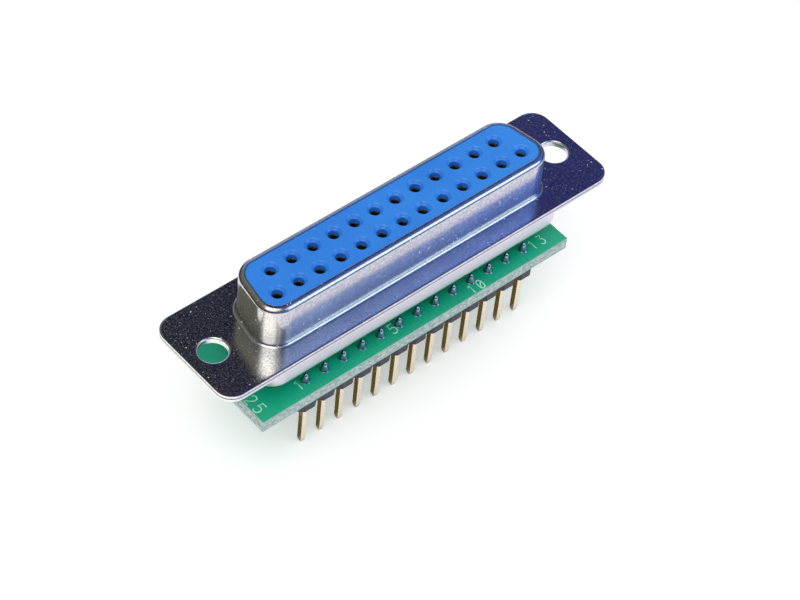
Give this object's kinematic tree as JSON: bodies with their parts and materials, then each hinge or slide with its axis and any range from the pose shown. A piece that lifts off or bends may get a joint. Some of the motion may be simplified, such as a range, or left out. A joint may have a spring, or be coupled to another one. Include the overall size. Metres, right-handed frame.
{
  "type": "d-sub adapter",
  "caption": "Female D-sub socket soldered to a small circuit board with two rows of square header pins beneath, so a D-sub plug can feed a breadboard.",
  "frame": {"origin": "midway between the two mounting holes, on the mating face of the flange", "axes": "+X along the connector, the longer row of contacts on the -Y side, +Z out of the mating face, away from the board and its pins"},
  "size_m": [0.053, 0.0136, 0.0214],
  "materials": {
    "shell_plating": "bright plated steel",
    "rear_plating": "satin plated steel",
    "blue_insulator": "moulded, satin",
    "dark_insulator": "moulded",
    "green_board": "solder mask over glass laminate",
    "header_plastic": "moulded",
    "contact_gold": "gold flash",
    "pin_gold": "gold flash",
    "solder": "bright tin solder"
  },
  "bodies": {
    "root": {"front_shell": "shell_plating", "rear_shell": "rear_plating", "front_insulator": "blue_insulator", "rear_insulator": "dark_insulator", "circuit_board": "green_board", "front_header_body": "header_plastic", "rear_header_body": "header_plastic", "front_solder": "solder", "rear_solder": "solder", "contact_01": "contact_gold", "contact_02": "contact_gold", "contact_03": "contact_gold", "contact_04": "contact_gold", "contact_05": "contact_gold", "contact_06": "contact_gold", "contact_07": "contact_gold", "contact_08": "contact_gold", "contact_09": "contact_gold", "contact_10": "contact_gold", "contact_11": "contact_gold", "contact_12": "contact_gold", "contact_13": "contact_gold", "contact_14": "contact_gold", "contact_15": "contact_gold", "contact_16": "contact_gold", "contact_17": "contact_gold", "contact_18": "contact_gold", "contact_19": "contact_gold", "contact_20": "contact_gold", "contact_21": "contact_gold", "contact_22": "contact_gold", "contact_23": "contact_gold", "contact_24": "contact_gold", "contact_25": "contact_gold", "front_pin_01": "pin_gold", "front_pin_02": "pin_gold", "front_pin_03": "pin_gold", "front_pin_04": "pin_gold", "front_pin_05": "pin_gold", "front_pin_06": "pin_gold", "front_pin_07": "pin_gold", "front_pin_08": "pin_gold", "front_pin_09": "pin_gold", "front_pin_10": "pin_gold", "front_pin_11": "pin_gold", "front_pin_12": "pin_gold", "front_pin_13": "pin_gold", "rear_pin_01": "pin_gold", "rear_pin_02": "pin_gold", "rear_pin_03": "pin_gold", "rear_pin_04": "pin_gold", "rear_pin_05": "pin_gold", "rear_pin_06": "pin_gold", "rear_pin_07": "pin_gold", "rear_pin_08": "pin_gold", "rear_pin_09": "pin_gold", "rear_pin_10": "pin_gold", "rear_pin_11": "pin_gold", "rear_pin_12": "pin_gold"}
  },
  "joints": []
}
